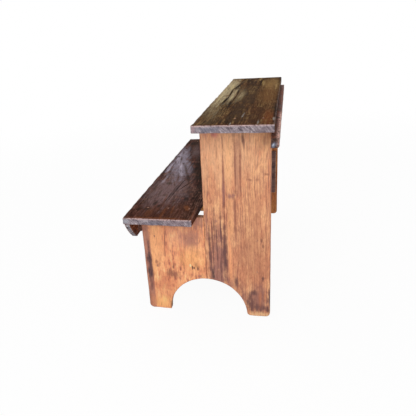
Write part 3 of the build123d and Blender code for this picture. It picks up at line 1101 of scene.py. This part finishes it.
def end_board(side, kind, wood, seed):
    """A tall or a step end board, standing on its half of the arch."""
    node = f"{kind}_end_board_{side}"
    low, high = node_box(node)
    tall = kind == "tall"
    outer = high[1] if tall else low[1]
    lines = list(spread(low[1], high[1], pitch=6.5)[0]) + arch_lines(low[1], high[1])
    toe_centre = outer - math.copysign(TOE_RADIUS, outer)
    for i in range(1, TOE_STEPS):
        reach = TOE_RADIUS * math.sin(math.pi * i / (2 * TOE_STEPS))
        lines.append(toe_centre + math.copysign(reach, outer))
    board = Board(
        node, lines, lambda y: (foot_height(y, outer), high[2]), (1, 2, 0), seed,
        outward=1 if side == "right" else -1, pitch=12, wobble=0.35, rough_cut=0.4,
        rounds=(0.7, 2.2, 1.8, 0.8) if tall else (2.2, 0.7, 1.8, 0.8),
    )
    board.build(wood)


def shelf(node, wood, seed, **shape):
    """A shelf with rounded corners: lines run along X, from its front edge to its back one."""
    low, high = node_box(node)

    def ends(y):
        gap = min(y - low[1], high[1] - y)
        setback = arc_drop(SHELF_CORNER, max(SHELF_CORNER - gap, 0))
        return low[0] + setback, high[0] - setback

    board = Board(node, spread(low[1], high[1], pitch=5.5)[0], ends, (1, 0, 2), seed, **shape)
    board.build(wood)


def step_shelf_edges(x):
    """Y of the step shelf's skewed front edge and of its bowed back edge."""
    low, high = node_box("step_shelf")
    share = (high[0] - x) / (high[0] - low[0])
    skew = STEP_SKEW * share
    bow = STEP_BOW * 4 * share * (1 - share)
    return low[1] + skew, JOINT_Y - STEP_GAP + skew + bow


def long_strip(node, wood, seed, outward, ends=None, **shape):
    """A rail or the apron: lines run along X, from its lower edge to its upper one."""
    low, high = node_box(node)
    board = Board(
        node, spread(low[2], high[2], pitch=4.5)[0], ends or (lambda z: (low[0], high[0])),
        (2, 0, 1), seed, outward=outward, **shape,
    )
    board.build(wood)


def apron_ends(z):
    """Where the apron's two clipped, slightly bowed ends stand at a height."""
    low, high = node_box("front_apron")
    share = (high[2] - z) / (high[2] - low[2])
    bow = 4 * APRON_BOW * share * (1 - share)
    corner = APRON_CORNER * arc_drop(1, max(1 - (z - low[2]), 0))       # in the lowest millimetre
    right = high[0] - (high[0] - APRON_LOWER_X) * share + bow - corner
    left = low[0] + (-APRON_LOWER_X - low[0]) * share - bow * FAR_BOW_SHARE + corner
    return max(left, low[0]), min(right, high[0])


def batten(side, wood, seed):
    """The wide board inside an end, with the top of the arch sawn out of its lower edge."""
    node = f"end_batten_{side}"
    low, high = node_box(node)
    lines = list(spread(low[1], high[1], pitch=9)[0])
    lines += [y for y in arch_lines(low[1], high[1]) if arch_height(y) > low[2]]
    board = Board(
        node, lines, lambda y: (max(low[2], arch_height(y)), high[2]), (1, 2, 0), seed,
        outward=-1 if side == "right" else 1, pitch=9, rounds=(1.2, 1.2, 1, 1.4),
        cut_sides=(0, 1), rough_cut=0.4,
    )
    board.build(wood)


# ---- nails
IRON_RELIEF = 0.4


def nail_iron(name, tones):
    """Old iron in three tones of rust."""
    material = bpy.data.materials.new(name)
    g = Graph(material)
    place = g.place()
    rust = g.noise(place, (3.5, 3.5, 3.5), 4, 0.65)
    pits = g.noise(place, (0.9, 0.9, 0.9), 2, 0.6)
    height = g.plus(g.times(rust, 0.6), g.times(pits, 0.4))
    colour = g.ramp(rust, list(zip((0.35, 0.5, 0.7), tones)))
    g.surface(colour, g.smooth(rust, 0.3, 0.7, 0.55, 0.85), height, 0.4, IRON_RELIEF)
    return material


# ---- scene
bpy.context.scene.view_settings.view_transform = "Standard"
add_camera()
add_world()
add_floor()
add_lamp("key", place=(3000, 200, 1900), aim=(0, 0, 350), size=2600, watts=50)
add_lamp("top", place=(-300, -300, 2900), aim=(0, 0, 300), size=2600, watts=30)


# ---- end boards
def pine(name, stops, seed, inside_shade_tone, **looks):
    """Waxed pine with brown edges and painted shade on the inner face."""
    return Wood(
        name, UPRIGHT, stops, seed, inside=(INNER_FACE_X, inside_shade_tone), wear_and_highlight_tone=(150, 98, 76),
        cut_tones=PINE_CUT, **looks,
    )


tall_right = pine(
    "tall_pine", PINE, 1, NEAR_INSIDE_SHADE, weights=Weights(0.35, 0.6, 0.5, 0.65, 0.4),
    pith=(-140, -60, 0.05), ring_depth=0.1, line_share=0.3, spots=TALL_RIGHT_SPOTS,
)
step_right = pine(
    "step_pine", ORANGE_PINE, 2, NEAR_INSIDE_SHADE, weights=Weights(0.3, 0.5, 0.4, 0.9, 0.8),
    pith=(-40, -60, 0.1), spots=STEP_RIGHT_SPOTS,
)
tall_left = pine(
    "tall_pine_left", PINE, 3, FAR_INSIDE_SHADE, weights=Weights(0.4, 0.6, 0.5, 0.65, 0.45),
    pith=(90, -60, 0.05), ring_depth=0.1, spots=TALL_LEFT_SPOTS,
)
step_left = pine(
    "step_pine_left", PINE, 4, FAR_INSIDE_SHADE, weights=Weights(0.4, 0.5, 0.4, 0.75, 0.65),
    pith=(-90, -60, -0.08), ring_depth=0.08, spots=STEP_LEFT_SPOTS,
)
end_board("right", "tall", tall_right, seed=101)
end_board("right", "step", step_right, seed=102)
end_board("left", "tall", tall_left, seed=103)
end_board("left", "step", step_left, seed=104)


# ---- shelves
BACK_EDGE_Y = node_box("top_shelf")[1][1]
BITES_X = (-90, 30, 120, 196, 262, 330, 385, 440)      # the ragged back edge's bites
TOP_CHIPS = [Chip(BACK_EDGE_Y - 1, run=x, size=4.5, stretch=2.6, depth=2.4) for x in BITES_X]
TOP_CRACKS = (
    Crack(((-285, 53), (-190, 43), (-150, 36), (-50, 41), (60, 44), (170, 36)), 1.5, 4),
    Crack(((-130, 65), (-20, 69), (100, 69), (200, 64)), 1, 2.5),
    Crack(((-460, 146), (-330, 140), (-230, 133)), 1.2, 3),
)
STEP_CRACKS = (
    Crack(((140, -115), (250, -124), (385, -134)), 0.9, 2.5),
    Crack(((145, -78), (190, -93), (245, -108)), 0.8, 2),
)
STEP_CHIPS = (
    Chip(-233, 491, 6, 0.8, 3.5),
    Chip(-221, 493, 3, 0.7, 2.5),
    Chip(-20, 480, 5, 2.4, 2.5),
)

# the shelves' pale edges: wear, with painted highlights along the arrises
shelf_edges = dict(wear_and_highlight_tone=(222, 190, 186), wear_and_highlight_share=0.7)
top_wood = Wood(
    "top_shelf_wood", LEVEL, OLIVE_BROWN, 5, weights=Weights(0.6, 1.4, 1.7, 0.6, 1),
    pith=(60, -50, 0.03), line_share=0.8, spots=TOP_SPOTS, cut_spots=TOP_END_SPOTS,
    gloss=(0.8, 1), specular=0.02, **shelf_edges,
)
shelf(
    "top_shelf", top_wood, seed=105, rounds=(4, 1.8, 1.4, 1.6), under_rounds=(4, 1.6, 1.2, 1.2),
    cracks=TOP_CRACKS, chips=TOP_CHIPS, rough_cut=0.5, worn=(0.25, 0.3, 0.6, 1),
)
step_wood = Wood(
    "step_shelf_wood", LEVEL, RED_BROWN, 6, weights=Weights(0.5, 1, 1.3, 1, 1.5),
    pith=(-130, -50, 0.03), line_share=0.6, spots=STEP_SPOTS, cut_spots=STEP_END_SPOTS,
    gloss=(0.7, 1), specular=0.04, **shelf_edges,
)
shelf(
    "step_shelf", step_wood, seed=106, rounds=(3, 2.2, 1.6, 2), cracks=STEP_CRACKS,
    chips=STEP_CHIPS, rough_cut=0.6, edges=step_shelf_edges, worn=(0.25, 0.1, 0.6, 1),
)


# ---- apron, rails and battens
strip_looks = dict(weights=Weights(0.6, 0.7, 0.5, 0.9, 0.9), pith=(300, -60, 0.05), specular=0.12)
# pale edges of the rails and apron: wear, with painted highlights
strip_wear_and_highlight = (206, 160, 146)
apron_wood = Wood(
    "apron_wood", ON_EDGE, DARK_RED, 7, cut_tones=PALE_CUT, wear_and_highlight_tone=strip_wear_and_highlight, **strip_looks,
)
long_strip(
    "front_apron", apron_wood, seed=108, outward=-1, ends=apron_ends, rounds=(2.5, 1.5, 1.5, 1.5),
)
rail_wood = Wood(
    "rail_wood", ON_EDGE, DARK_RED, 7.5, cut_tones=RED_CUT, wear_and_highlight_tone=strip_wear_and_highlight, **strip_looks,
)
long_strip("front_rail", rail_wood, seed=107, outward=-1, rounds=(0.8, 0.8, 0.8, 0.8))
back_wood = Wood(
    "back_rail_wood", ON_EDGE, BLACK_BROWN, 7.8, cut_tones=SHADED_BLACK_CUT, cut_spots=BACK_END_LIT_SPOTS,
    # its top pale pink only near the end: wear and a painted highlight
    worn_from=(150, 0.15), wear_and_highlight_tone=(232, 184, 170), wear_and_highlight_share=0.95, **strip_looks,
)
long_strip(
    "back_rail", back_wood, seed=109, outward=1, rounds=(15, 3, 2, 2), under_rounds=(1, 1, 1, 1),
    worn=(0.3, 1, 0.5, 0.5), worn_reach=10,
)
inner_wood = Wood(
    "inner_wood", CROSSWISE, INNER_BROWN, 8, pith=(200, -60, 0.05), cut_tones=DARK_CUT,
)
batten("right", inner_wood, seed=110)
batten("left", inner_wood, seed=111)


# ---- nail heads
rusty = nail_iron("rusty_nails", ((104, 70, 56), (146, 98, 74), (176, 124, 92)))
waxed = nail_iron("waxed_nails", ((150, 104, 82), (178, 122, 94), (198, 136, 104)))
for name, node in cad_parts.items():
    if "nails" in name:
        for slot in node.material_slots:
            slot.material = waxed if name.startswith("end_batten") else rusty
